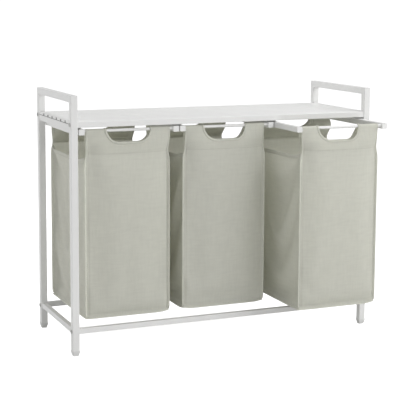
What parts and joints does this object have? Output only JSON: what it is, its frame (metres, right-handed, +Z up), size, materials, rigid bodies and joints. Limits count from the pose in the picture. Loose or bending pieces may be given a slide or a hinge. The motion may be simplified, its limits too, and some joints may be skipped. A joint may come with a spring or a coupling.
{
  "type": "laundry cart",
  "caption": "Free-standing laundry sorter: a steel frame with carrying handles and a slatted shelf, under which cloth bags on sliding carriers pull out to the front.",
  "frame": {"origin": "on the floor, at the centre of the box that the sorter fills as stored, with its right bag pulled out 140 mm", "axes": "+X along the width to the right, +Y to the rear, +Z up; the bags pull out along -Y"},
  "size_m": [0.9298, 0.4758, 0.72],
  "materials": {
    "white_powder_coat": "satin white powder coat on steel tube and sheet",
    "cap_plastic": "smooth white moulded plastic",
    "foot_plastic": "fine-grained white moulded plastic",
    "bolt_steel": "zinc-plated steel with a dark hexagon socket",
    "insert_nylon": "natural nylon",
    "bag_cloth": "light sage-beige plain weave, oxford cloth with stitched hems",
    "board_plastic": "stiff board covered in the bag's colour"
  },
  "bodies": {
    "frame": {"left_front_post": "white_powder_coat", "left_rear_post": "white_powder_coat", "right_front_post": "white_powder_coat", "right_rear_post": "white_powder_coat", "left_handle_rail": "white_powder_coat", "left_upper_side_rail": "white_powder_coat", "left_lower_side_rail": "white_powder_coat", "left_end_bearer": "white_powder_coat", "left_end_guide": "white_powder_coat", "left_middle_bearer": "white_powder_coat", "left_middle_guide": "white_powder_coat", "right_handle_rail": "white_powder_coat", "right_upper_side_rail": "white_powder_coat", "right_lower_side_rail": "white_powder_coat", "right_end_bearer": "white_powder_coat", "right_end_guide": "white_powder_coat", "right_middle_bearer": "white_powder_coat", "right_middle_guide": "white_powder_coat", "front_lower_rail": "white_powder_coat", "front_shelf_rail": "white_powder_coat", "rear_lower_rail": "white_powder_coat", "rear_shelf_rail": "white_powder_coat", "shelf_slat_1": "white_powder_coat", "shelf_slat_2": "white_powder_coat", "shelf_slat_3": "white_powder_coat", "shelf_slat_4": "white_powder_coat", "shelf_slat_5": "white_powder_coat", "shelf_slat_6": "white_powder_coat", "shelf_slat_7": "white_powder_coat", "left_front_foot": "foot_plastic", "left_rear_foot": "foot_plastic", "right_front_foot": "foot_plastic", "right_rear_foot": "foot_plastic", "lower_rail_bolts": "bolt_steel", "shelf_rail_bolts": "bolt_steel", "lower_rail_inserts": "insert_nylon", "shelf_rail_inserts": "insert_nylon"},
    "left_carrier": {"left_carrier_left_bar": "white_powder_coat", "left_carrier_right_bar": "white_powder_coat", "left_carrier_front_rod": "white_powder_coat", "left_carrier_rear_rod": "white_powder_coat", "left_carrier_bar_caps": "cap_plastic", "left_bag": "bag_cloth", "left_bag_board": "board_plastic"},
    "middle_carrier": {"middle_carrier_left_bar": "white_powder_coat", "middle_carrier_right_bar": "white_powder_coat", "middle_carrier_front_rod": "white_powder_coat", "middle_carrier_rear_rod": "white_powder_coat", "middle_carrier_bar_caps": "cap_plastic", "middle_bag": "bag_cloth", "middle_bag_board": "board_plastic"},
    "right_carrier": {"right_carrier_left_bar": "white_powder_coat", "right_carrier_right_bar": "white_powder_coat", "right_carrier_front_rod": "white_powder_coat", "right_carrier_rear_rod": "white_powder_coat", "right_carrier_bar_caps": "cap_plastic", "right_bag": "bag_cloth", "right_bag_board": "board_plastic"}
  },
  "joints": [
    {"name": "left_carrier_slide", "type": "slide", "parent": "frame", "child": "left_carrier", "axis": [0, -1, 0], "range_m": [0, 0.22]},
    {"name": "middle_carrier_slide", "type": "slide", "parent": "frame", "child": "middle_carrier", "axis": [0, -1, 0], "range_m": [0, 0.22]},
    {"name": "right_carrier_slide", "type": "slide", "parent": "frame", "child": "right_carrier", "axis": [0, -1, 0], "range_m": [-0.14, 0.08]}
  ]
}
